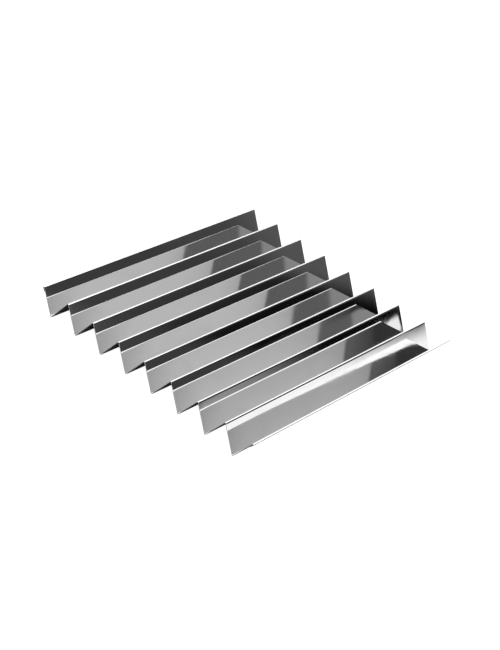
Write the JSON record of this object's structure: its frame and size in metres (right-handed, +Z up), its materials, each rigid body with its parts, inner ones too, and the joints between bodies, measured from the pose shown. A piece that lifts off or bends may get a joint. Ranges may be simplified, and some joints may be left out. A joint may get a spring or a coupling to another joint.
{
  "type": "wave-folded sheet metal insert",
  "caption": "Bright stainless sheet folded in a zigzag into parallel V-shaped channels, open at both ends, with hemmed outer edges; lies flat on a tray or shelf.",
  "frame": {"origin": "under the middle of the sheet, on the plane that its lower folds rest on", "axes": "+X along the channels, +Y across them, +Z up"},
  "size_m": [0.4, 0.3468, 0.0332],
  "materials": {
    "bright_stainless": "bright mirror-rolled stainless steel, not plated"
  },
  "bodies": {
    "root": {"wave_sheet": "bright_stainless"}
  },
  "joints": []
}
